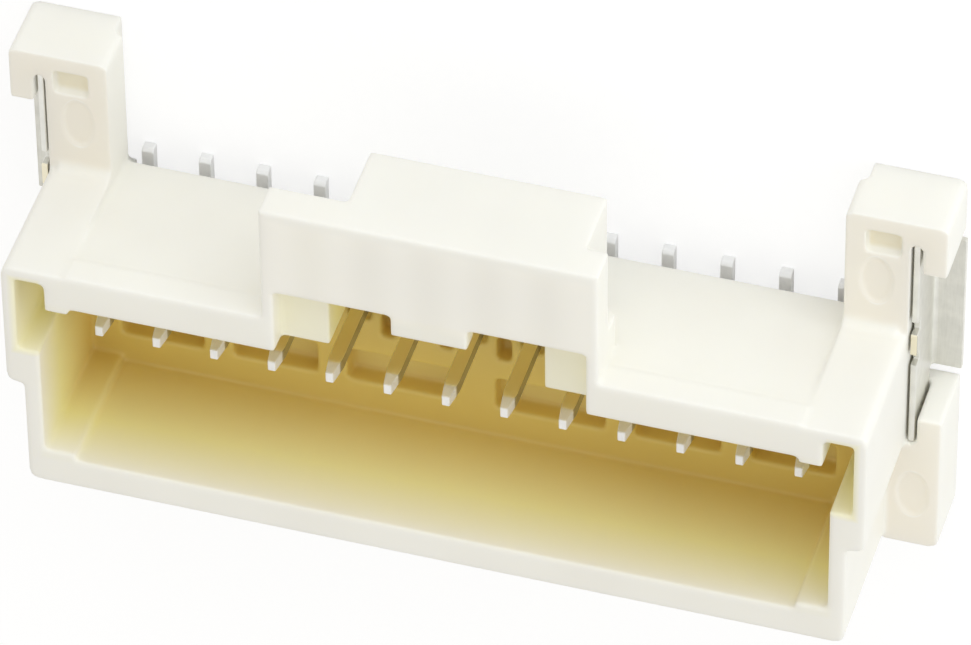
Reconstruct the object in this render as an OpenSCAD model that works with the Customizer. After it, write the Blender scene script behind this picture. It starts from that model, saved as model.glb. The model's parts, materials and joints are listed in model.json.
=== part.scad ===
// Pin header with a shroud: one row of contacts for a cable plug, soldered flat on a board.
// The board is the plane Z = 0. The row runs along X, the solder tails point to +Y on the side
// of the lock, and the plug enters from +Z. The origin is the middle of the footprint.

/* [Row] */
// Number of contacts in the row
positions = 13; // [11:1:18]
// Distance between neighbouring contacts
pitch = 2; // [1.9:0.05:2.5]

/* [Contacts] */
// Width of the square pin
pin_w = 0.5; // [0.4:0.05:0.6]
// Width of the coined flat at the tip, along the row
tip_flat = 0.27; // [0.2:0.01:0.35]
// Depth of the coined flat at the tip, across the row
tip_depth = 0.42; // [0.3:0.02:0.45]
// Length of the coined taper
tip_taper = 0.8; // [0.4:0.1:1.2]
// Height of the tip above the board
tip_z = 5.95; // [5:0.05:6.8]
// Width of the solder tail
tail_w = 0.42; // [0.3:0.02:0.5]
// Thickness of the solder tail
tail_t = 0.4; // [0.3:0.05:0.5]
// Reach of the solder tail from the row
tail_reach = 3.3; // [3.1:0.05:4.2]
// Bevel on the tail's cut end
tail_bevel = 0.12; // [0.05:0.01:0.2]
// Outside radius of the bend from pin to tail
tail_bend = 0.35; // [0.2:0.05:0.5]
// Clearance on each side of the pin along the row
pin_clear = 0.03; // [0.01:0.01:0.06]

/* [Shroud] */
// Height of the mating face above the board
shroud_h = 7.7; // [7.2:0.1:8.6]
// Height of the cavity's floor above the board
floor_z = 2.6; // [2.4:0.05:2.9]
// Thickness of the cavity's floor
floor_t = 1.5; // [1.3:0.05:1.6]
// Room from the last contact to the outside of the end wall
end_room = 2.1; // [2:0.05:2.4]
// Thickness of the end walls
end_wall = 0.6; // [0.5:0.05:0.7]
// From the row to the outside of the lower wall
lower_out = 5.7; // [5.4:0.1:6.4]
// Thickness of the lower wall
lower_wall = 1.2; // [0.9:0.1:1.4]
// From the row to the inside of the upper wall
upper_in = 2.45; // [2.3:0.05:2.7]
// Thickness of the upper wall at the mating face
upper_wall = 1.45; // [1.3:0.05:1.6]
// Thickness of the upper wall at the board side
upper_rear = 0.9; // [0.8:0.05:1.1]
// Length of the lip along the upper wall's front edge
lip_l = 1; // [0.6:0.1:1.4]
// Drop of the sunk panel behind the lip
lip_drop = 0.06; // [0.04:0.02:0.3]
// Radius of the shroud's long outside corners
corner_r = 0.35; // [0.2:0.05:0.5]
// Width of the raised strips at the ends of the lower wall
strip_w = 1.1; // [0.8:0.1:1.4]
// Height of the raised strips
strip_h = 0.28; // [0.15:0.01:0.4]
// Drop of the upper wall beside each keyway
brow_drop = 0.25; // [0.15:0.05:0.35]

/* [Keyways] */
// How far the side flanges stand out past the end walls
flange_out = 0.6; // [0.5:0.05:0.8]
// From the row up to the top of the flanges
flange_top = 3.85; // [3.8:0.05:4]
// From the row down to the underside of the flanges
flange_low = 1.35; // [1:0.05:1.8]
// Thickness of the flange outside the keyway
key_wall = 0.45; // [0.35:0.05:0.55]
// From the row up to the keyway's lower end
key_low = 0.25; // [0:0.05:0.5]
// From the row up to the keyway's upper end
key_top = 3.35; // [3:0.05:3.4]

/* [Lock] */
// Width of the lock arch
arch_w = 11.4; // [11:0.1:12]
// From the row up to the top of the arch and the hood
arch_top = 8.65; // [8.2:0.05:9]
// Thickness of the arch plate
arch_t = 1.28; // [1.1:0.02:1.5]
// Thickness of the arch at its feet
foot_t = 2.1; // [1.8:0.1:2.4]
// From the row up to the top of the thick feet
foot_top = 5.2; // [4.9:0.05:5.5]
// Width of the opening under the arch
mouth_w = 10.55; // [10:0.05:10.7]
// From the row up to the top of the opening
mouth_top = 5.1; // [4.7:0.05:5.4]
// Depth of the wide part of the opening
mouth_d = 0.85; // [0.7:0.05:1]
// Width of the latch slot behind the opening
slot_w = 7.3; // [6.9:0.1:7.5]
// From the row up to the latch slot's roof
slot_top = 4.6; // [4.4:0.05:4.7]
// Length of the latch slot along the plug's way
slot_l = 3.3; // [3:0.1:3.4]
// Width of the catch that hangs from the arch
catch_w = 2.6; // [2:0.1:3.4]
// How far the catch hangs below the arch
catch_h = 0.85; // [0.6:0.05:1]
// Thickness of the catch
catch_t = 0.8; // [0.6:0.05:0.85]
// Thickness of the walls beside the latch slot
slot_wall = 0.7; // [0.5:0.05:0.8]
// Width of the hood behind the arch, in contact pitches
hood_cells = 4; // [3:1:4]
// Sideways place of the hood's middle, in contact pitches
hood_shift = 0.48; // [0:0.02:0.5]
// Height above the board of the hood's board side
hood_z = 3.95; // [3.8:0.05:4.2]
// Width of each core pocket in the hood's board side
core_w = 1.1; // [0.8:0.1:1.3]
// Thickness of the hood's roof and of its front
core_wall = 0.75; // [0.6:0.05:0.9]

/* [Ears] */
// From the last contact to the inside of the ear
ear_in = 0.5; // [0.45:0.05:0.7]
// From the last contact to the outside of the ear
ear_out = 3.95; // [3.9:0.05:4.4]
// From the row up to the top of the ear
ear_top = 8.7; // [8.3:0.05:9]
// Thickness of the ear
ear_t = 2.55; // [2.4:0.05:2.8]
// From the row up to the underside of the upper hook
hook_low = 6.6; // [6.4:0.05:6.8]
// From the row up to the top of the lower block
block_top = 0.05; // [-0.2:0.05:0.2]
// Radius of the ear's outside corners
ear_r = 0.25; // [0.1:0.05:0.4]
// Step in the ear's inner side at the board, along the row
ear_step = 0.3; // [0.2:0.05:0.5]
// Height of that step above the board
ear_step_z = 0.8; // [0.5:0.05:1]
// Radius of the cove between ear and flange
ear_cove = 0.45; // [0.2:0.05:0.6]
// Width of the sunk panel on the ear's front
panel_w = 1.2; // [0.9:0.1:1.3]
// Height of the sunk panel
panel_h = 0.95; // [0.7:0.05:1.1]
// From the ear's top down to the sunk panel
panel_drop = 0.6; // [0.4:0.05:0.8]
// Depth of the sunk panel
panel_d = 0.35; // [0.1:0.05:0.4]
// Half width of the oval ejector marks
mark_x = 0.56; // [0.4:0.02:0.6]
// Half height of the oval ejector marks
mark_y = 1; // [0.7:0.05:1]
// Depth of the ejector marks
mark_d = 0.08; // [0.03:0.01:0.1]
// From the ear's top down to the middle of its mark
mark_drop = 2.75; // [2.5:0.05:3]
// From the lower block's underside up to the middle of its mark
mark_rise = 2.3; // [2:0.05:2.6]

/* [Solder tabs] */
// Thickness of the tab's sheet
tab_t = 0.22; // [0.15:0.01:0.3]
// Width of the slots that hold the tab
tab_slot = 0.38; // [0.34:0.02:0.5]
// Clearance between the tab's ends and the slots
tab_clear = 0.01; // [0.01:0.005:0.05]
// Depth of the upper slot into the hook
tab_upper = 1.15; // [0.9:0.05:1.3]
// Depth of the lower slot into the block
tab_lower = 1.2; // [0.9:0.05:1.4]
// Height above the board of the slots' floors
tab_seat = 0.55; // [0.5:0.05:0.7]
// How far the sheet's front edge stays behind the ear's front
tab_back = 0.12; // [0.05:0.01:0.2]
// Width of the carrier strip's stub on the sheet's front edge
stub_w = 0.9; // [0.6:0.05:1.2]
// From the row up to the stub
stub_low = 2.85; // [2.5:0.05:3.2]
// How far the stub stands out of the sheet's edge
stub_out = 0.06; // [0.02:0.01:0.1]
// Length of the notch on each side of the stub
notch_l = 0.5; // [0.3:0.05:0.7]
// Depth of those notches
notch_d = 0.35; // [0.2:0.05:0.5]
// Gap between the foot and the hooks beside it
foot_gap = 0.4; // [0.3:0.05:0.6]
// How far the foot stands out past the ear
foot_past = 0.05; // [0:0.05:0.3]
// Inside radius of the tab's bend
tab_bend = 0.15; // [0.1:0.01:0.2]

/* [Floor pockets] */
// Pockets on each side of the middle rib
pockets = 3; // [2:1:3]
// Width of the middle rib
mid_rib = 1.4; // [1:0.1:2]
// Width of the other ribs
rib_w = 1.05; // [0.7:0.05:1.2]
// From the middle to the first of those ribs, in pitches
rib_first = 2.5; // [2.3:0.1:2.7]
// From one of those ribs to the next, in pitches
rib_step = 2; // [1.9:0.05:2.1]
// From the row down to the pockets' near side
pocket_near = 1.9; // [1.7:0.05:2]
// Width of the pockets across the row
pocket_w = 1.35; // [1:0.05:1.6]
// Depth of the pockets
pocket_d = 0.7; // [0.4:0.05:0.8]
// Width of the sunk rim round each pin's root
root_w = 0.14; // [0.1:0.01:0.2]
// Depth of that rim
root_d = 0.3; // [0.2:0.05:0.5]
// Side of the small pockets under the lock, along the row
well_w = 0.5; // [0.4:0.05:0.7]
// Side of the small pockets under the lock, across the row
well_h = 1; // [0.7:0.1:1.2]

/* [Tail comb] */
// Width of the ribs between the tails
comb_w = 0.7; // [0.5:0.05:0.8]
// Gap between the ribs and the board
comb_gap = 0.15; // [0.1:0.01:0.3]
// From the row to the near side of the ribs
comb_near = 0.8; // [0.6:0.05:1]
// Length of the ribs along the tails
comb_l = 1.4; // [1:0.1:1.6]

/* [Hidden] */
$fn = 48;
eps = 0.01;
over = 1;
row_half = (positions - 1) * pitch / 2;
row_y = (lower_out - ear_top) / 2;
shroud_x = row_half + end_room;
cavity_x = shroud_x - end_wall;
flange_x = shroud_x + flange_out;
ear_x = row_half + ear_in;
ear_end = row_half + ear_out;
cavity_low = lower_wall - lower_out;
floor_under = floor_z - floor_t;
upper_out = upper_in + upper_wall;
panel_front = upper_out - lip_drop;
panel_rear = upper_in + upper_rear;
key_x = flange_x - key_wall;
brow_x = cavity_x - strip_w;
key_in = cavity_x - strip_w / 4;
slot_x = slot_w / 2;
slot_end = shroud_h - mouth_d - (slot_l - mouth_d);
hood_mid = hood_shift * pitch;
hood_x = hood_cells * pitch / 2;
tab_mid = flange_x + tab_slot / 2;
tab_in = tab_mid - tab_t / 2;
slot_top_y = hook_low + tab_upper;
slot_low_y = block_top - tab_lower;
slot_r = tab_slot / 2;
slot_round = slot_r - sqrt(pow(slot_r, 2) - pow(tab_t / 2, 2));
tab_top = slot_top_y - slot_round - tab_clear;
tab_bottom = slot_low_y + slot_round + tab_clear;
tab_front = ear_t - tab_back;
bend_out = tab_bend + tab_t;
pocket_half = cavity_x - strip_w;

// A box given by its limits along each axis
module slab(x, y, z) {
  translate([x[0], y[0], z[0]]) cube([x[1] - x[0], y[1] - y[0], z[1] - z[0]]);
}

// The same thing at both ends of the row
module both_ends() {
  children();
  mirror([1, 0, 0]) children();
}

// A rectangle given by its limits, with round corners
module round_rect(x, y, r) {
  translate([x[0] + r, y[0]]) square([x[1] - x[0] - 2 * r, y[1] - y[0]]);
  translate([x[0], y[0] + r]) square([x[1] - x[0], y[1] - y[0] - 2 * r]);
  for (cx = [x[0] + r, x[1] - r]) {
    for (cy = [y[0] + r, y[1] - r]) {
      translate([cx, cy]) circle(r);
    }
  }
}

// A profile drawn as (Y, Z) points, swept along X between two limits
module along_row(x) {
  translate([x[0], 0, 0]) rotate([90, 0, 90]) linear_extrude(x[1] - x[0]) children();
}

// Outside of the shroud: end and lower walls, flanges and upper wall
module shroud_block() {
  linear_extrude(shroud_h) round_rect([-shroud_x, shroud_x], [-lower_out, upper_in + corner_r], corner_r);
  linear_extrude(shroud_h) round_rect([-flange_x, flange_x], [-flange_low, flange_top], corner_r);
  slab([-ear_x, ear_x], [upper_in, upper_out], [shroud_h - lip_l, shroud_h]);
}

// The sunk panel in the upper wall's outside, deeper towards the board
module upper_panel() {
  along_row([-ear_x, ear_x]) polygon([
    [panel_rear, floor_under - over],
    [panel_rear, floor_under],
    [panel_front, shroud_h - lip_l],
    [flange_top + over, shroud_h - lip_l],
    [flange_top + over, floor_under - over]
  ]);
}

// Arch plate, its thick feet, the shoulder over the latch slot, and the hood
module lock_block() {
  along_row([-arch_w / 2, arch_w / 2]) square_yz([upper_in, arch_top], [shroud_h - arch_t, shroud_h]);
  along_row([-arch_w / 2, arch_w / 2]) square_yz([upper_in, foot_top], [shroud_h - foot_t, shroud_h]);
  slab([-slot_x - slot_wall, slot_x + slot_wall], [upper_in, foot_top], [hood_z, shroud_h]);
  slab([hood_mid - hood_x, hood_mid + hood_x], [upper_in, arch_top], [hood_z, shroud_h - arch_t / 2]);
}

// A plain rectangle in a (Y, Z) profile
module square_yz(y, z) {
  translate([y[0], z[0]]) square([y[1] - y[0], z[1] - z[0]]);
}

// Opening under the arch, with the narrower latch slot behind it
module lock_mouth() {
  slab([-mouth_w / 2, mouth_w / 2], [0, mouth_top], [shroud_h - mouth_d, shroud_h + over]);
  slab([-slot_x, slot_x], [0, slot_top], [slot_end, shroud_h - mouth_d + eps]);
}

// Catch that hangs from the middle of the arch
module lock_catch() {
  slab([-catch_w / 2, catch_w / 2], [mouth_top - catch_h, mouth_top + eps], [shroud_h - catch_t, shroud_h]);
}

// Core pockets in the hood's board side, one over each contact
module hood_cores() {
  for (i = [0:hood_cells - 1]) {
    x = hood_mid + (i - (hood_cells - 1) / 2) * pitch;
    slab([x - core_w / 2, x + core_w / 2], [foot_top + core_wall, arch_top - core_wall],
         [hood_z - over, shroud_h - core_wall]);
  }
}

// Space for the plug, with the raised strips at the ends of the lower wall
module cavity() {
  difference() {
    slab([-cavity_x, cavity_x], [cavity_low, upper_in], [floor_z, shroud_h + over]);
    both_ends() {
      slab([cavity_x - strip_w, cavity_x + over], [cavity_low - over, cavity_low + strip_h],
           [floor_z - over, shroud_h + 2 * over]);
      slab([brow_x, key_in], [upper_in - brow_drop, upper_in + over], [floor_z - over, shroud_h + 2 * over]);
    }
  }
}

// Keyway in each flange, open to the cavity
module keyways() {
  both_ends() slab([key_in, key_x], [key_low, key_top], [floor_z, shroud_h + over]);
}

// Pockets that thin the floor, below the row and under the lock
module floor_pockets() {
  low = -pocket_near - pocket_w;
  both_ends() difference() {
    slab([mid_rib / 2, pocket_half], [low, -pocket_near], [floor_z - pocket_d, floor_z + over]);
    for (i = [0:pockets - 2]) {
      x = (rib_first + i * rib_step) * pitch;
      slab([x - rib_w / 2, x + rib_w / 2], [low - over, over - pocket_near], [0, floor_z + 2 * over]);
    }
  }
  for (i = [-1.5:1:1.5]) {
    slab([i * pitch - well_w / 2, i * pitch + well_w / 2], [-well_h, 0], [floor_z - pocket_d, floor_z + over]);
  }
}

// Holes that grip the pins, with a sunk rim round each pin's root
module pin_holes() {
  rim = pin_w / 2 + root_w;
  for (i = [1:positions]) {
    translate([contact_x(i), 0, 0]) {
      slab([-pin_w / 2 - pin_clear, pin_w / 2 + pin_clear], [-pin_w / 2, pin_w / 2], [0, floor_z + over]);
      slab([-rim, rim], [-rim, rim], [floor_z - root_d, floor_z + over]);
    }
  }
}

// Hollow under the floor, open to the tail side between the ears
module under_floor() {
  slab([-cavity_x, cavity_x], [cavity_low, upper_in - end_wall], [-over, floor_under]);
  slab([-ear_x, ear_x], [0, flange_top + over], [-over, floor_under]);
}

// Ribs that keep the tails apart under the floor
module tail_comb() {
  for (i = [1:positions - 1]) {
    x = contact_x(i) + pitch / 2;
    slab([x - comb_w / 2, x + comb_w / 2], [comb_near, comb_near + comb_l], [comb_gap, floor_under + eps]);
  }
}

// Outline of one ear with its upper hook and lower block, seen from the front
module ear_outline() {
  intersection() {
    union() {
      translate([ear_x, upper_in]) square([flange_x - ear_x, ear_top - upper_in]);
      translate([ear_x, hook_low]) square([ear_end - ear_x, ear_top - hook_low]);
      translate([shroud_x - eps, -lower_out]) square([ear_end - shroud_x + eps, block_top + lower_out]);
    }
    round_rect([ear_x, ear_end], [-lower_out, ear_top], ear_r);
  }
}

// One ear at the +X end
module ear() {
  linear_extrude(ear_t) ear_outline();
  along_row([ear_x, flange_x - corner_r]) difference() {
    square_yz([flange_top - eps, flange_top + ear_cove], [ear_t - eps, ear_t + ear_cove]);
    translate([flange_top + ear_cove, ear_t + ear_cove]) circle(ear_cove);
  }
}

// A slot for the tab between two heights, round at both ends
module tab_slot_cut(y) {
  slab([flange_x, flange_x + tab_slot], [y[0] + slot_r, y[1] - slot_r], [tab_seat, ear_t + over]);
  for (end = [y[0] + slot_r, y[1] - slot_r]) {
    translate([tab_mid, end, tab_seat]) cylinder(r = slot_r, h = ear_t + over - tab_seat);
  }
}

// Slots, sunk panel, ejector marks and step of one ear
module ear_cuts() {
  tab_slot_cut([hook_low - over, slot_top_y]);
  tab_slot_cut([slot_low_y, block_top + over]);
  panel_mid = (ear_x + flange_x) / 2 + panel_w / 6;
  slab([panel_mid - panel_w / 2, panel_mid + panel_w / 2], [ear_top - panel_drop - panel_h, ear_top - panel_drop],
       [ear_t - panel_d, ear_t + over]);
  ejector_mark((ear_x + flange_x) / 2, ear_top - mark_drop);
  ejector_mark((shroud_x + ear_end) / 2, mark_rise - lower_out);
  slab([ear_x - eps, ear_x + ear_step], [upper_in, ear_top + over], [-over, ear_step_z]);
}

// A shallow oval left by an ejector pin
module ejector_mark(x, y) {
  translate([x, y, ear_t - mark_d]) linear_extrude(over) scale([mark_x, mark_y]) circle(1);
}

// Place of a contact along the row
function contact_x(i) = (i - 1) * pitch - row_half;

// Moulded housing, in one piece
module housing() {
  color("ivory") translate([0, row_y, 0]) {
    difference() {
      union() {
        difference() {
          shroud_block();
          upper_panel();
        }
        lock_block();
        both_ends() ear();
      }
      cavity();
      keyways();
      lock_mouth();
      hood_cores();
      floor_pockets();
      pin_holes();
      under_floor();
      both_ends() ear_cuts();
    }
    lock_catch();
    tail_comb();
  }
}

// Pin and solder tail seen from the end of the row
module contact_side() {
  difference() {
    union() {
      polygon([
        [-pin_w / 2, 0],
        [pin_w / 2, 0],
        [pin_w / 2, tip_z - tip_taper],
        [tip_depth / 2, tip_z],
        [-tip_depth / 2, tip_z],
        [-pin_w / 2, tip_z - tip_taper]
      ]);
      polygon([
        [0, 0],
        [tail_reach, 0],
        [tail_reach, tail_t - tail_bevel],
        [tail_reach - tail_bevel, tail_t],
        [0, tail_t]
      ]);
    }
    difference() {
      square_yz([-pin_w / 2 - eps, tail_bend - pin_w / 2], [-eps, tail_bend]);
      translate([tail_bend - pin_w / 2, tail_bend]) circle(tail_bend);
    }
  }
}

// Pin and solder tail seen from the front of the row
module contact_front() {
  polygon([
    [-tail_w / 2, -eps],
    [tail_w / 2, -eps],
    [tail_w / 2, tail_t],
    [pin_w / 2, floor_under],
    [pin_w / 2, tip_z - tip_taper],
    [tip_flat / 2, tip_z],
    [-tip_flat / 2, tip_z],
    [-pin_w / 2, tip_z - tip_taper],
    [-pin_w / 2, floor_under],
    [-tail_w / 2, tail_t]
  ]);
}

// One contact: a square pin with a coined tip, bent out into a solder tail
module contact(i) {
  color("silver") translate([contact_x(i), row_y, 0]) intersection() {
    along_row([-pin_w, pin_w]) contact_side();
    translate([0, tail_reach + over, 0]) rotate([90, 0, 0]) linear_extrude(tail_reach + 2 * over) contact_front();
  }
}

// Bent edge of a solder tab, seen along the bend
module tab_edge() {
  translate([0, bend_out]) square([tab_t, tab_seat - bend_out + eps]);
  translate([bend_out, 0]) square([ear_end + foot_past - tab_in - bend_out, tab_t]);
  intersection() {
    difference() {
      translate([bend_out, bend_out]) circle(bend_out);
      translate([bend_out, bend_out]) circle(tab_bend);
    }
    square(bend_out);
  }
}

// One solder tab at the +X end: an upright plate in the ear's slots, with a foot bent out flat on the board
module solder_tab() {
  difference() {
    slab([tab_in, tab_in + tab_t], [tab_bottom, tab_top], [tab_seat, tab_front]);
    for (y = [stub_low - notch_l, stub_low + stub_w]) {
      slab([tab_in - over, tab_in + tab_t + over], [y, y + notch_l], [tab_front - notch_d, tab_front + over]);
    }
  }
  slab([tab_in, tab_in + tab_t], [stub_low, stub_low + stub_w], [tab_front - eps, tab_front + stub_out]);
  translate([tab_in, hook_low - foot_gap, 0]) rotate([90, 0, 0])
    linear_extrude(hook_low - block_top - 2 * foot_gap) tab_edge();
}

// Solder tab in the right ear
module right_solder_tab() {
  color("silver") translate([0, row_y, 0]) solder_tab();
}

// Solder tab in the left ear
module left_solder_tab() {
  color("silver") translate([0, row_y, 0]) mirror([1, 0, 0]) solder_tab();
}

housing();
left_solder_tab();
right_solder_tab();
for (i = [1:positions]) {
  contact(i);
}
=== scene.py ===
"""Looks of a shrouded pin header: ivory nylon housing, tinned contacts and tabs, white studio."""

import json
from math import tau

import bpy
from mathutils import Matrix, Vector


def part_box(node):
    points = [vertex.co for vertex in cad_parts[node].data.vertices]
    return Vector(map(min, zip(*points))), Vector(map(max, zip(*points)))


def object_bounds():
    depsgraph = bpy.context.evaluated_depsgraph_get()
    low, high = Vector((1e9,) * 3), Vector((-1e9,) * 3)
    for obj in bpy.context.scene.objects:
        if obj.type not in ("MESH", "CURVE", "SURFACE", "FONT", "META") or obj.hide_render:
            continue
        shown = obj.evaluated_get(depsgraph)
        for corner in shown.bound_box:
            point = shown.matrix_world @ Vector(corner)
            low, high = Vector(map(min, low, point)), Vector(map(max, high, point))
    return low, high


MM = 0.001

# Camera, found by fitting the part's corners to the photograph
CAMERA_AT = Vector((61.777, 200.023, 203.361)) * MM
CAMERA_LOOK = Vector((-0.211285, -0.691386, -0.690900))
CAMERA_UP = Vector((-0.191057, 0.722436, -0.664517))
CAMERA_LENS = 325.945
SENSOR_WIDTH = 36
CLIP_NEAR, CLIP_FAR = 10 * MM, 10

# Nylon: colour outside, and painted shade and glow deep in the hollows, where light goes round in it
IVORY = (0.95, 0.926, 0.85)
STRAW_GLOW = (0.95, 0.88, 0.46)
HONEY_SHADE = (0.745, 0.56, 0.155)
STRAW_GLOW_AT = 0.4
MOTTLE_SIZE = 3.5 * MM
MOTTLE_SHARE = 0.97
NYLON_ROUGH = (0.42, 0.55)
NYLON_IOR = 1.53
NYLON_GRAIN = 0.09 * MM
NYLON_BUMP = 0.12
GLOW = 0.3
GLOW_DEPTH = 1.1 * MM
GLOW_TINT = (1.0, 0.96, 0.86)

# The row from the first pin to the last, in pitches
PITCHES = 12

# The hollows: places in pitches from the pin row, the part's middle or the cavity's end
PIN_HALF = 0.125
END_GAP = 0.625
UPPER_WALL = 1.225
POCKET_DEPTH = 0.35
KEYWAY_SIDES = (0.1, 1.7)
KEYWAY_DEPTH = 0.4
LATCH_HALF, LATCH_WALL, LATCH_END = 1.85, 2.3, 4.4 * MM
ARCH_HALF, ARCH_WALL, ARCH_END = 2.62, 2.5, 6.75 * MM
HOLLOW_EDGE = 0.2 * MM
# Their painted shade and glow at the open end and at the far end
CAVITY_PAINTED_SHADE = (0.03, 1)
KEYWAY_PAINTED_SHADE = (0.2, 0.5)
LATCH_PAINTED_SHADE = (0.25, 0.7)
ARCH_PAINTED_SHADE = (0.02, 0.14)

# Ears: painted shade on the front face, deeper in the sunk panel, and ejector marks a shade darker with
# a light rim
EAR_FACE_SHADE = (0.915, 0.865, 0.765)
EAR_PANEL_SHADE = (0.90, 0.845, 0.68)
EAR_IN, EAR_FRONT, EAR_DEPTH = 12.3 * MM, 2.55 * MM, 0.6 * MM
EAR_EDGE = 0.1 * MM
# How far a face has to look along Z to count as a front that gets the painted shade
FRONT_TURN = (0.5, 0.98)
PANEL_STEP = (0.1 * MM, 0.2 * MM)
MARK = (0.90, 0.845, 0.735)
MARK_RIM = (0.96, 0.94, 0.88)
MARK_RADII = (0.56 * MM, 1.0 * MM)
MARK_FLATNESS = 20
MARK_ROUND = (1.1, 1.04)
MARK_INSIDE = (0.98, 0.93)
UPPER_MARK, UPPER_MARK_DROP = 13.6 * MM, 2.75 * MM
LOWER_MARK, LOWER_MARK_RISE = 15.025 * MM, 2.3 * MM

# The arch's front, in painted bands of light and shade from light through the wall: darker over the
# hood's pockets, one to a pin; half its width in pitches
BAND_GLOW = (0.985, 0.95, 0.865)
BAND_SHADE = (0.945, 0.91, 0.83)
BAND_EDGE = 0.3 * MM
FACE_HALF = 2.7
FACE_DROP, FACE_DEPTH = 0.5 * MM, 0.1 * MM

# The mould's rounding comes from a fine skin that is smoothed, then thinned out where it is flat
SKIN_CELL = 0.075 * MM
SKIN_SOFTNESS = 0.5
SKIN_ROUNDS = 8
SKIN_KEPT = 0.16
WELD_GAP = 0.001 * MM

# Metal: plating, a painted reflection of the warm hollow on the shanks, and the tint of the tabs' bare
# stubs
TIN = (0.88, 0.87, 0.845)
MATTE_TIN = (0.94, 0.94, 0.945)
SHEET_TIN = (0.80, 0.79, 0.735)
SHANK_REFLECTION = (0.93, 0.90, 0.72)
BRASS = (0.86, 0.80, 0.62)
DULL_SHARE = 0.93
# Painted shade on the flanks, as a share of the tint
FLANK_SHADE_SHARE = 0.55
# How far a face has to look along X to count as a flank, which gets painted shade
FLANK_TURN = (0.6, 0.9)
TIN_ROUGH = (0.34, 0.48)
TIN_BUMP = 0.15
DULL_ROUGH = 0.34
CLOUD_SIZE = 0.5 * MM
WIRE_LINES, WIRE_STRETCH = 0.04 * MM, (1, 1, 12)
SHEET_LINES, SHEET_STRETCH = 0.05 * MM, (1, 14, 1)
METAL_EDGE = 0.045 * MM
METAL_STEPS = 2
TINT_EDGE = 0.03 * MM
# Where the ends go dull along Z, and how matte they get
FOOT_DULL = (1.2 * MM, 0.8 * MM, 0.75)
TIP_FADE, TIP_MATTE = 0.1 * MM, 0.25
TAB_DULL = (0.6 * MM, 0.2 * MM, 0)
# The tinted boxes: the shanks' and the stubs' place in pitches, the stubs' size in millimetres
SHANK_HALF, SHANK_ROOT, TIP_LENGTH = 0.5, 0.3, 0.28
STUB_AT = 1.65
STUB_HALF, STUB_DEPTH, STUB_OVER = 0.45 * MM, 0.03 * MM, 0.05 * MM

# Noise: the ranges that most of it falls in, its detail, and the depth of all bumps
NOISE_RANGE = (0.3, 0.7)
CLOUD_RANGE = (0.35, 0.7)
MOTTLE_DETAIL, GRAIN_DETAIL, TIN_DETAIL = 1, 0, 2
BUMP_DEPTH = 0.01 * MM

# Studio: lamps as name, place and size in lengths of the part, and power in watts
WORLD_LEVEL = 0.74
FILL_TINT = (1.0, 0.985, 0.95)
LAMP_TINT = (0.87, 0.935, 1.0)
LAMPS = (("top box", (1.5, 6, 1.2), 6, 0.166), ("side box", (6, 1.5, 0.8), 5, 0.138))
TABLE_HALF = 8
TABLE_DROP = 0.01 * MM
TABLE_BOUNCE = 0.92
TABLE_SHADE = 0.35
TABLE_WHITE = 0.72


def new_material(name):
    """An empty node material with its output node."""
    mat = bpy.data.materials.new(name)
    mat.use_nodes = True
    mat.node_tree.nodes.clear()
    out = mat.node_tree.nodes.new("ShaderNodeOutputMaterial")
    return mat, mat.node_tree, out


def add(tree, kind, inputs=None, **settings):
    """Adds a node, and gives each named input a constant or a link."""
    made = tree.nodes.new(kind)
    for name, value in settings.items():
        setattr(made, name, value)
    for name, value in (inputs or {}).items():
        if isinstance(value, bpy.types.NodeSocket):
            tree.links.new(value, made.inputs[name])
        else:
            made.inputs[name].default_value = value
    return made


def rgba(colour):
    """A colour with full alpha."""
    return (*colour, 1.0)


def dimmed(colour, share):
    """A share of a colour."""
    return [c * share for c in colour]


def noise(tree, coords, size, detail, stretch=(1, 1, 1)):
    """Noise whose grains are about the given size, drawn out along one axis by stretch."""
    scale = [1 / s for s in stretch]
    place = add(tree, "ShaderNodeMapping", {"Vector": coords, "Scale": scale})
    grains = {"Vector": place.outputs[0], "Scale": 1 / size, "Detail": detail}
    return add(tree, "ShaderNodeTexNoise", grains).outputs["Fac"]


def bumps(tree, height, strength):
    """A bumpy normal."""
    values = {"Strength": strength, "Distance": BUMP_DEPTH, "Height": height}
    return add(tree, "ShaderNodeBump", values).outputs[0]


def spread(tree, value, low, high, to_low=0, to_high=1):
    """Maps one range of values to another, clamped."""
    made = add(tree, "ShaderNodeMapRange", {"Value": value, "From Min": low, "From Max": high,
                                            "To Min": to_low, "To Max": to_high})
    return made.outputs[0]


def math(tree, operation, first, second=0.0, third=0.0):
    """One calculation with up to three values."""
    made = add(tree, "ShaderNodeMath", {0: first, 1: second, 2: third}, operation=operation)
    return made.outputs[0]


def vector_math(tree, operation, *values):
    """One calculation with vectors."""
    return add(tree, "ShaderNodeVectorMath", dict(enumerate(values)), operation=operation).outputs


def axes_of(tree, vector):
    """A vector's three parts."""
    return add(tree, "ShaderNodeSeparateXYZ", {0: vector}).outputs


def blend(tree, factor, first, second):
    """Mixes two colours."""
    made = add(tree, "ShaderNodeMix", {"Factor": factor}, data_type="RGBA")
    for socket, colour in ((made.inputs[6], first), (made.inputs[7], second)):
        if isinstance(colour, bpy.types.NodeSocket):
            tree.links.new(colour, socket)
        else:
            socket.default_value = rgba(colour)
    return made.outputs[2]


def inside(tree, coords, low, high, soft):
    """One inside a box, falling to nothing a little way outside it."""
    low, high = Vector(low), Vector(high)
    off = vector_math(tree, "SUBTRACT", coords, (low + high) / 2)[0]
    away = vector_math(tree, "ABSOLUTE", off)[0]
    past = axes_of(tree, vector_math(tree, "SUBTRACT", away, (high - low) / 2)[0])
    farthest = math(tree, "MAXIMUM", math(tree, "MAXIMUM", past[0], past[1]), past[2])
    return spread(tree, farthest, soft, 0)


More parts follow.
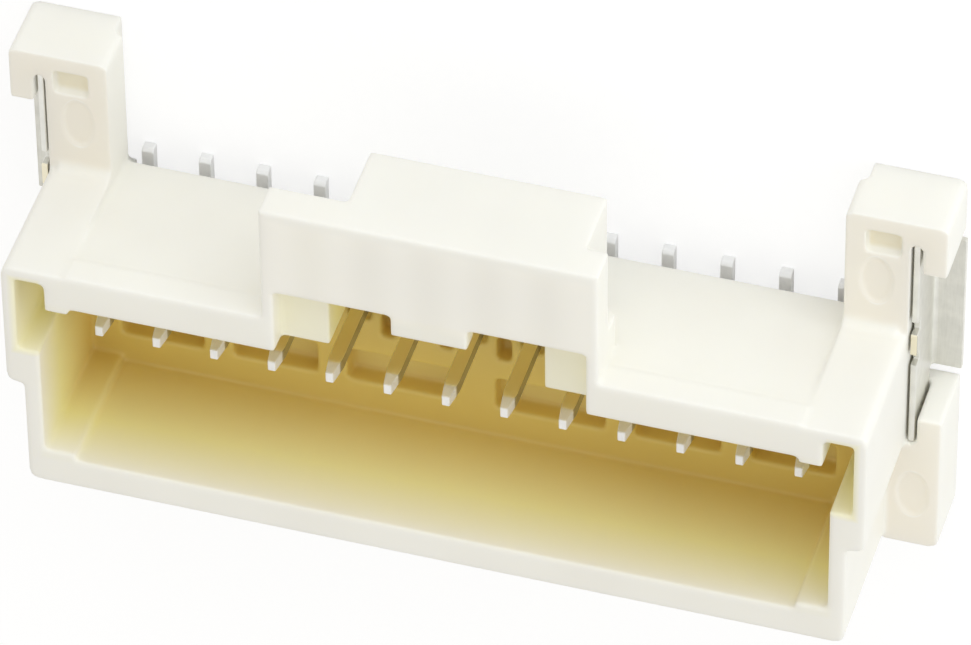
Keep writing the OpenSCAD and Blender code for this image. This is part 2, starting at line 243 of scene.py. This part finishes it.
def mirrored(tree, coords):
    """Coordinates in which both ends of the row are one, and Z by itself."""
    axes = axes_of(tree, coords)
    side = math(tree, "ABSOLUTE", axes[0])
    place = add(tree, "ShaderNodeCombineXYZ", {0: side, 1: axes[1], 2: axes[2]})
    return place.outputs[0], axes[2]


def oval_rim(tree, coords, centre, radii):
    """Distance from an oval's middle, one at its rim, and far larger off its plane."""
    flat = (1 / radii[0], 1 / radii[1], MARK_FLATNESS / radii[0])
    off = vector_math(tree, "SUBTRACT", coords, centre)[0]
    share = vector_math(tree, "MULTIPLY", off, flat)[0]
    return vector_math(tree, "LENGTH", share)["Value"]


def painted_hollow_shade(tree, place, z, hollows):
    """Painted shade and glow in the hollows: how far light has gone into them, from nothing to one."""
    hollow_shade = 0.0
    for low, high, open_z, shut_z, at_mouth, at_end in hollows:
        depth = spread(tree, z, open_z, shut_z, at_mouth, at_end)
        here = math(tree, "MULTIPLY", inside(tree, place, low, high, HOLLOW_EDGE), depth)
        hollow_shade = math(tree, "MAXIMUM", hollow_shade, here)
    return hollow_shade


def ear_shade_and_marks(tree, place, z, normal, pale, face, marks):
    """Painted shade on the ears' fronts and on the panels sunk in them, and the tones of the ejector
    marks.
    """
    turned = spread(tree, axes_of(tree, normal)[2], *FRONT_TURN)
    shaded_fronts = math(tree, "MULTIPLY", inside(tree, place, *face, EAR_EDGE), turned)
    sunk = spread(tree, z, EAR_FRONT - PANEL_STEP[0], EAR_FRONT - PANEL_STEP[1])
    # Painted shade on the fronts, deeper on the sunk panels
    pale = blend(tree, shaded_fronts, pale, blend(tree, sunk, EAR_FACE_SHADE, EAR_PANEL_SHADE))
    off = math(tree, "MINIMUM", *[oval_rim(tree, place, centre, MARK_RADII) for centre in marks])
    pale = blend(tree, spread(tree, off, *MARK_ROUND), pale, MARK_RIM)
    return blend(tree, spread(tree, off, *MARK_INSIDE), pale, MARK)


def painted_arch_bands(tree, place, coords, pale, face, step):
    """Faint painted bands of light and shade on the arch's front, one to a pin."""
    turn = math(tree, "MULTIPLY", axes_of(tree, coords)[0], tau / step)
    # Painted light and shade, in bands one to a pin
    painted_bands = blend(tree, spread(tree, math(tree, "COSINE", turn), -1, 1), BAND_GLOW, BAND_SHADE)
    return blend(tree, inside(tree, place, *face, BAND_EDGE), pale, painted_bands)


def nylon(hollows, ear_face, marks, arch_face, band_step):
    """Natural nylon: pale outside, with painted shade and glow, deeper and warmer, towards the far end
    of each hollow.
    """
    mat, tree, out = new_material("nylon")
    texture = add(tree, "ShaderNodeTexCoord").outputs
    coords = texture["Object"]
    place, z = mirrored(tree, coords)
    mottle = noise(tree, coords, MOTTLE_SIZE, MOTTLE_DETAIL)
    pale = blend(tree, spread(tree, mottle, *NOISE_RANGE), IVORY, dimmed(IVORY, MOTTLE_SHARE))
    pale = painted_arch_bands(tree, place, coords, pale, arch_face, band_step)
    pale = ear_shade_and_marks(tree, place, z, texture["Normal"], pale, ear_face, marks)
    # Painted shade and glow: straw part way into the hollows, honey at their far ends
    hollow_shade = painted_hollow_shade(tree, place, z, hollows)
    straw_glow = blend(tree, spread(tree, hollow_shade, 0, STRAW_GLOW_AT), pale, STRAW_GLOW)
    colour = blend(tree, spread(tree, hollow_shade, STRAW_GLOW_AT, 1), straw_glow, HONEY_SHADE)
    grain = noise(tree, coords, NYLON_GRAIN, GRAIN_DETAIL)
    skin = add(tree, "ShaderNodeBsdfPrincipled", {
        "Base Color": colour, "Roughness": spread(tree, mottle, *NOISE_RANGE, *NYLON_ROUGH),
        "IOR": NYLON_IOR, "Normal": bumps(tree, grain, NYLON_BUMP),
        "Subsurface Weight": GLOW, "Subsurface Radius": GLOW_TINT, "Subsurface Scale": GLOW_DEPTH})
    tree.links.new(skin.outputs[0], out.inputs[0])
    return mat


def tin(name, plating, stretch, grain_size, tinted, metal_and_reflection_tint, dull_ends):
    """Tin plate with fine lines along the metal, another tint in one box with painted shade on its
    flanks, and duller ends; the tint is a painted reflection on the shanks and bare metal on the stubs.
    """
    mat, tree, out = new_material(name)
    texture = add(tree, "ShaderNodeTexCoord").outputs
    coords = texture["Object"]
    lines = noise(tree, coords, grain_size, TIN_DETAIL, stretch)
    cloud = noise(tree, coords, CLOUD_SIZE, TIN_DETAIL)
    colour = blend(tree, spread(tree, cloud, *CLOUD_RANGE), plating, dimmed(plating, DULL_SHARE))
    side = math(tree, "ABSOLUTE", axes_of(tree, texture["Normal"])[0])
    # Painted shade: faces that look along X are darker
    tint_with_flank_shade = blend(tree, spread(tree, side, *FLANK_TURN), metal_and_reflection_tint, dimmed(metal_and_reflection_tint, FLANK_SHADE_SHARE))
    colour = blend(tree, inside(tree, coords, *tinted, TINT_EDGE), colour, tint_with_flank_shade)

    z = axes_of(tree, coords)[2]
    rough, metal = spread(tree, lines, *NOISE_RANGE, *TIN_ROUGH), 1.0
    for clear_z, dull_z, matte in dull_ends:
        dull = spread(tree, z, clear_z, dull_z)
        rough = math(tree, "MULTIPLY_ADD", dull, DULL_ROUGH, rough)
        if matte:
            metal = math(tree, "MULTIPLY_ADD", dull, -matte, metal)
            colour = blend(tree, math(tree, "MULTIPLY", dull, matte), colour, MATTE_TIN)
    plate = add(tree, "ShaderNodeBsdfPrincipled", {
        "Base Color": colour, "Metallic": metal, "Roughness": rough,
        "Normal": bumps(tree, lines, TIN_BUMP)})
    tree.links.new(plate.outputs[0], out.inputs[0])
    return mat


def dress(node, mat):
    """Gives a CAD node its material."""
    node.data.materials.clear()
    node.data.materials.append(mat)


def weld(node):
    """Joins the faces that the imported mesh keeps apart."""
    join = node.modifiers.new("weld", "WELD")
    join.merge_threshold = WELD_GAP


def round_moulding(node):
    """Rounds every edge and inside corner a little, as a mould does."""
    weld(node)
    skin = node.modifiers.new("skin", "REMESH")
    skin.mode = "VOXEL"
    skin.voxel_size = SKIN_CELL
    skin.use_smooth_shade = True
    soften = node.modifiers.new("soften", "SMOOTH")
    soften.factor = SKIN_SOFTNESS
    soften.iterations = SKIN_ROUNDS
    thin = node.modifiers.new("thin", "DECIMATE")
    thin.ratio = SKIN_KEPT


def round_metal(node):
    """Takes the sharpness off the edges of wire and sheet."""
    weld(node)
    edge = node.modifiers.new("edge", "BEVEL")
    edge.width = METAL_EDGE
    edge.segments = METAL_STEPS
    edge.limit_method = "ANGLE"


def seen_by_eye(tree):
    """One for rays from the camera, and for those that metal or clear plastic sends on."""
    path = add(tree, "ShaderNodeLightPath")
    either = math(tree, "MAXIMUM", path.outputs["Is Camera Ray"], path.outputs["Is Glossy Ray"])
    return math(tree, "MAXIMUM", either, path.outputs["Is Transmission Ray"])


def floor_material():
    """White table that keeps a light shadow where it is seen, and throws light back like white card."""
    mat, tree, out = new_material("table")
    card = add(tree, "ShaderNodeBsdfDiffuse", {"Color": rgba([TABLE_BOUNCE] * 3)})
    shade = add(tree, "ShaderNodeBsdfDiffuse", {"Color": rgba([TABLE_SHADE] * 3)})
    glow = add(tree, "ShaderNodeEmission", {"Strength": TABLE_WHITE})
    seen = add(tree, "ShaderNodeAddShader", {0: shade.outputs[0], 1: glow.outputs[0]})
    looks = {0: seen_by_eye(tree), 1: card.outputs[0], 2: seen.outputs[0]}
    either = add(tree, "ShaderNodeMixShader", looks)
    tree.links.new(either.outputs[0], out.inputs[0])
    return mat


def make_floor(half):
    """The table the header stands on."""
    mesh = bpy.data.meshes.new("table")
    corners = [(-half, -half, 0), (half, -half, 0), (half, half, 0), (-half, half, 0)]
    mesh.from_pydata(corners, [], [(0, 1, 2, 3)])
    table = bpy.data.objects.new("table", mesh)
    table.location.z = -TABLE_DROP
    bpy.context.scene.collection.objects.link(table)
    mesh.materials.append(floor_material())


def make_world():
    """Even, faintly warm surroundings, a plain white where they are seen."""
    world = bpy.data.worlds.new("studio")
    world.use_nodes = True
    bpy.context.scene.world = world
    tree = world.node_tree
    tree.nodes.clear()
    colour = blend(tree, seen_by_eye(tree), dimmed(FILL_TINT, WORLD_LEVEL), (1, 1, 1))
    sky = add(tree, "ShaderNodeBackground", {"Color": colour})
    out = add(tree, "ShaderNodeOutputWorld")
    tree.links.new(sky.outputs[0], out.inputs[0])


def make_lamp(name, at, aim, size, power):
    """A square soft box."""
    data = bpy.data.lights.new(name, "AREA")
    data.shape = "SQUARE"
    data.size = size
    data.energy = power
    data.color = LAMP_TINT
    lamp = bpy.data.objects.new(name, data)
    lamp.location = at
    lamp.rotation_mode = "QUATERNION"
    lamp.rotation_quaternion = (aim - at).to_track_quat("-Z", "Y")
    bpy.context.scene.collection.objects.link(lamp)


def make_camera():
    """The camera of the photograph."""
    data = bpy.data.cameras.new("camera")
    data.lens = CAMERA_LENS
    data.sensor_width = SENSOR_WIDTH
    data.clip_start = CLIP_NEAR
    data.clip_end = CLIP_FAR
    camera = bpy.data.objects.new("camera", data)
    back = -CAMERA_LOOK.normalized()
    right = CAMERA_UP.cross(back).normalized()
    up = back.cross(right)
    turn = Matrix((right, up, back)).transposed().to_4x4()
    camera.matrix_world = Matrix.Translation(CAMERA_AT) @ turn
    bpy.context.scene.collection.objects.link(camera)
    bpy.context.scene.camera = camera


def find_hollows(cavity, pitch, row_y, end_x):
    """Each hollow as its low and high corner, its open and far end along Z, and the painted shade and
    glow at both.
    """
    floor_z, mouth_z = cavity[0][2], cavity[1][2]
    pocket_z = floor_z - POCKET_DEPTH * pitch
    upper_y = row_y + UPPER_WALL * pitch
    key_low, key_high = [row_y + side * pitch for side in KEYWAY_SIDES]
    key_x = end_x + KEYWAY_DEPTH * pitch
    latch_x, latch_y = LATCH_HALF * pitch, row_y + LATCH_WALL * pitch
    arch_x, arch_y = ARCH_HALF * pitch, row_y + ARCH_WALL * pitch
    return [
        ((-pitch, cavity[0][1], pocket_z), (end_x, upper_y, mouth_z), mouth_z, floor_z, *CAVITY_PAINTED_SHADE),
        ((end_x, key_low, floor_z), (key_x, key_high, mouth_z), mouth_z, floor_z, *KEYWAY_PAINTED_SHADE),
        ((-pitch, upper_y, LATCH_END), (latch_x, latch_y, ARCH_END), ARCH_END, LATCH_END, *LATCH_PAINTED_SHADE),
        ((-pitch, upper_y, ARCH_END), (arch_x, arch_y, mouth_z), mouth_z, ARCH_END, *ARCH_PAINTED_SHADE),
    ]


def find_ear(box):
    """The box of an ear's front, and the middles of its two ejector marks."""
    face = ((EAR_IN, box[0].y, EAR_FRONT - EAR_DEPTH), (box[1].x, box[1].y, EAR_FRONT))
    upper = (UPPER_MARK, box[1].y - UPPER_MARK_DROP, EAR_FRONT)
    lower = (LOWER_MARK, box[0].y + LOWER_MARK_RISE, EAR_FRONT)
    return face, (upper, lower)


def find_arch_face(mouth_z, top_y, pitch, row_y):
    """The box of the arch's front, up to a little below its top edge."""
    low = (-pitch, row_y + ARCH_WALL * pitch, mouth_z - FACE_DEPTH)
    return low, (FACE_HALF * pitch, top_y - FACE_DROP, mouth_z)


def find_shanks(floor_z, tip_z, pitch, row_y, end_x):
    """The box round all pins, from their roots in the floor to the coined tips."""
    half = SHANK_HALF * pitch
    return (-end_x, row_y - half, floor_z - SHANK_ROOT * pitch), (end_x, row_y + half, tip_z)


def find_stubs(corner, pitch, row_y):
    """The box round the stubs on the front edge of both tabs."""
    stub_y = row_y + STUB_AT * pitch
    return ((-corner.x, stub_y - STUB_HALF, corner.z - STUB_DEPTH),
            (corner.x, stub_y + STUB_HALF, corner.z + STUB_OVER))


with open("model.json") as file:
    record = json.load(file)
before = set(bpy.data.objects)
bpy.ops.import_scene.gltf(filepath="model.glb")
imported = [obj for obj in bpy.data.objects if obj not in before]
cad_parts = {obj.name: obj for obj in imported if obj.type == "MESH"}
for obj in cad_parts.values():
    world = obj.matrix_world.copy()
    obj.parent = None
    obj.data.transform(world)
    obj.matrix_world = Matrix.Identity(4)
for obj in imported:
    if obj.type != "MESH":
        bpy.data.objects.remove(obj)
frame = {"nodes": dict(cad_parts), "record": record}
bounds_at_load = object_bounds()
bpy.context.scene.view_settings.view_transform = "Standard"

first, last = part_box("contact_1"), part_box("contact_13")
housing_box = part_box("housing")
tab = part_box("right_solder_tab")
pitch = (last[1].x - first[1].x) / PITCHES
row_y = first[0].y + PIN_HALF * pitch
end_x = last[1].x + END_GAP * pitch
tip_z = last[1].z - TIP_LENGTH * pitch
cavity = frame["record"]["physics"]["openings"][0]["box_m"]

ear_face, marks = find_ear(housing_box)
arch_face = find_arch_face(cavity[1][2], housing_box[1].y, pitch, row_y)
hollows = find_hollows(cavity, pitch, row_y, end_x)
plastic = nylon(hollows, ear_face, marks, arch_face, pitch)
tip_dull = (tip_z - TIP_FADE, tip_z + TIP_FADE, TIP_MATTE)
shanks = find_shanks(cavity[0][2], tip_z, pitch, row_y, end_x)
stubs = find_stubs(tab[1], pitch, row_y)
# The shanks carry a painted reflection of the warm hollow, with painted shade on their flanks
wire = tin("contact_tin", TIN, WIRE_STRETCH, WIRE_LINES, shanks, SHANK_REFLECTION, [FOOT_DULL, tip_dull])
sheet = tin("tab_tin", SHEET_TIN, SHEET_STRETCH, SHEET_LINES, stubs, BRASS, [TAB_DULL])
for name, node in frame["nodes"].items():
    if name == "housing":
        dress(node, plastic)
        round_moulding(node)
    elif name.startswith("contact"):
        dress(node, wire)
        round_metal(node)
    else:
        dress(node, sheet)
        round_metal(node)

middle = (bounds_at_load[0] + bounds_at_load[1]) / 2
length = bounds_at_load[1].x - bounds_at_load[0].x
make_floor(TABLE_HALF * length)
make_world()
for name, place, size, power in LAMPS:
    make_lamp(name, middle + Vector(place) * length, middle, size * length, power)
make_camera()
